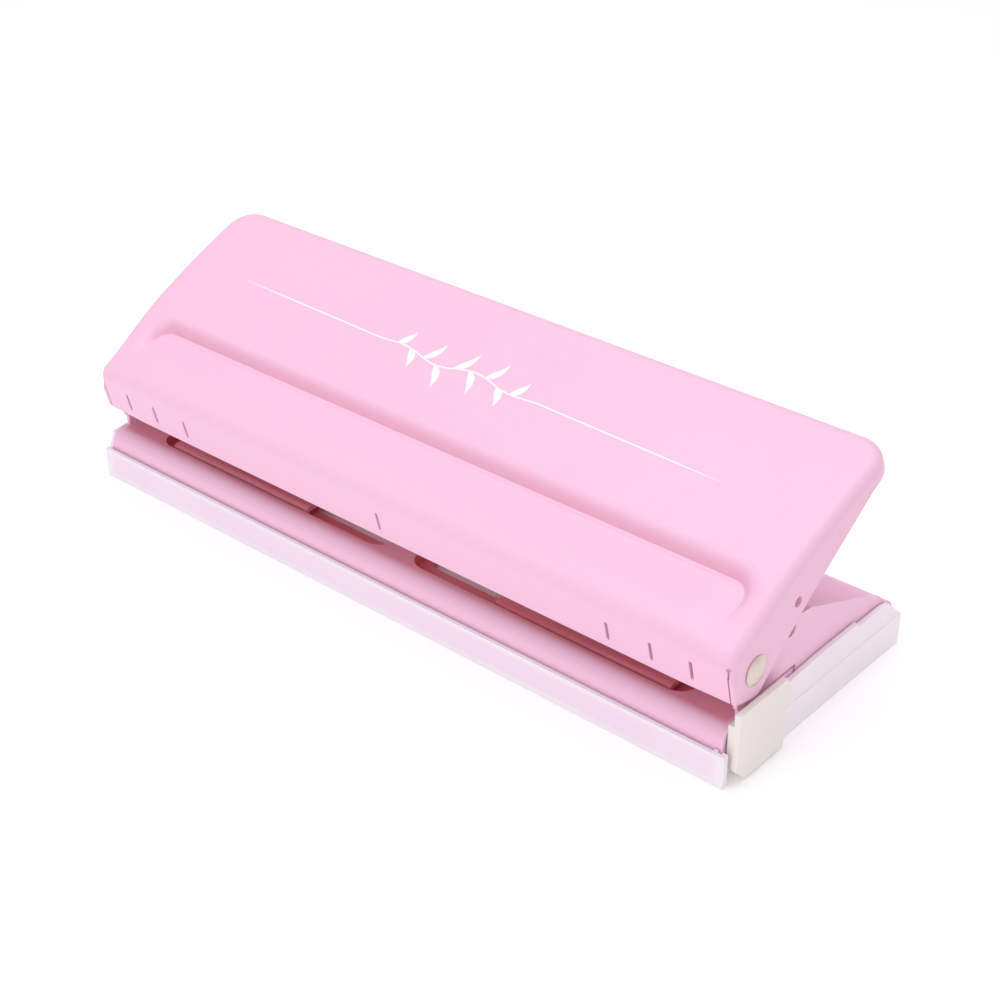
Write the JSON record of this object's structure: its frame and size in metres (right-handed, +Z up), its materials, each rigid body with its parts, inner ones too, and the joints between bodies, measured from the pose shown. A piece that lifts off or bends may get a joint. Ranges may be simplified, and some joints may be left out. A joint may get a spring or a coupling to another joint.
{
  "type": "hole punch",
  "caption": "Long desktop hole punch with a sloping sheet-metal handle, two banks of punches, a pull-out paper guide and a frosted chip tray.",
  "frame": {"origin": "underside of the chip tray, on the middle of the punch's length, 42 mm behind the tray's front wall", "axes": "+X along the punch to the right, +Y to the rear, +Z up"},
  "size_m": [0.2382, 0.0838, 0.0686],
  "materials": {
    "pink_coat": "satin powder coat",
    "tray_plastic": "frosted translucent polypropylene",
    "guide_plastic": "milky moulded plastic",
    "nickel": "dull nickel plate",
    "zinc_steel": "zinc-plated sheet",
    "hard_steel": "ground hardened steel",
    "spring_steel": "bright spring wire"
  },
  "bodies": {
    "base": {"base_plate": "pink_coat", "left_stripper": "pink_coat", "right_stripper": "pink_coat", "left_bracket": "pink_coat", "right_bracket": "pink_coat", "left_die_plate": "pink_coat", "right_die_plate": "pink_coat", "bracket_rivets": "zinc_steel", "left_pivot_rivet": "nickel", "right_pivot_rivet": "nickel", "left_pivot_washer": "zinc_steel", "right_pivot_washer": "zinc_steel", "guide_strap_1": "zinc_steel", "guide_strap_2": "zinc_steel", "guide_strap_3": "zinc_steel", "return_spring_1": "spring_steel", "return_spring_2": "spring_steel", "return_spring_3": "spring_steel", "return_spring_4": "spring_steel", "return_spring_5": "spring_steel", "return_spring_6": "spring_steel"},
    "handle": {"handle_shell": "pink_coat", "press_bar": "zinc_steel"},
    "chip_tray": {"chip_tray": "tray_plastic"},
    "paper_guide": {"guide_strip": "guide_plastic", "guide_end": "guide_plastic"},
    "punch_1": {"punch_1": "hard_steel", "clip_1": "spring_steel"},
    "punch_2": {"punch_2": "hard_steel", "clip_2": "spring_steel"},
    "punch_3": {"punch_3": "hard_steel", "clip_3": "spring_steel"},
    "punch_4": {"punch_4": "hard_steel", "clip_4": "spring_steel"},
    "punch_5": {"punch_5": "hard_steel", "clip_5": "spring_steel"},
    "punch_6": {"punch_6": "hard_steel", "clip_6": "spring_steel"}
  },
  "joints": [
    {"name": "handle_press", "type": "hinge", "parent": "base", "child": "handle", "pos_m": [0, -0.031, 0.03], "axis": [-1, 0, 0], "range_deg": [0, 18], "stiffness_Nm_per_rad": 0.9, "springref_deg": -20.05},
    {"name": "guide_pull", "type": "slide", "parent": "base", "child": "paper_guide", "axis": [1, 0, 0], "range_m": [0, 0.06]},
    {"name": "tray_off", "type": "slide", "parent": "base", "child": "chip_tray", "axis": [0, 0, -1], "range_m": [0, 0.03]},
    {"name": "punch_1_stroke", "type": "slide", "parent": "base", "child": "punch_1", "axis": [0, 0, -1], "range_m": [0, 0.0061], "deforming": ["return_spring_1"]},
    {"name": "punch_2_stroke", "type": "slide", "parent": "base", "child": "punch_2", "axis": [0, 0, -1], "range_m": [0, 0.0061], "deforming": ["return_spring_2"]},
    {"name": "punch_3_stroke", "type": "slide", "parent": "base", "child": "punch_3", "axis": [0, 0, -1], "range_m": [0, 0.0061], "deforming": ["return_spring_3"]},
    {"name": "punch_4_stroke", "type": "slide", "parent": "base", "child": "punch_4", "axis": [0, 0, -1], "range_m": [0, 0.0061], "deforming": ["return_spring_4"]},
    {"name": "punch_5_stroke", "type": "slide", "parent": "base", "child": "punch_5", "axis": [0, 0, -1], "range_m": [0, 0.0061], "deforming": ["return_spring_5"]},
    {"name": "punch_6_stroke", "type": "slide", "parent": "base", "child": "punch_6", "axis": [0, 0, -1], "range_m": [0, 0.0061], "deforming": ["return_spring_6"]}
  ],
  "couplings": [
    {"joint": "punch_1_stroke", "follows": "handle_press", "m_per_rad": 0.019158},
    {"joint": "punch_2_stroke", "follows": "handle_press", "m_per_rad": 0.019158},
    {"joint": "punch_3_stroke", "follows": "handle_press", "m_per_rad": 0.019158},
    {"joint": "punch_4_stroke", "follows": "handle_press", "m_per_rad": 0.019158},
    {"joint": "punch_5_stroke", "follows": "handle_press", "m_per_rad": 0.019158},
    {"joint": "punch_6_stroke", "follows": "handle_press", "m_per_rad": 0.019158}
  ]
}
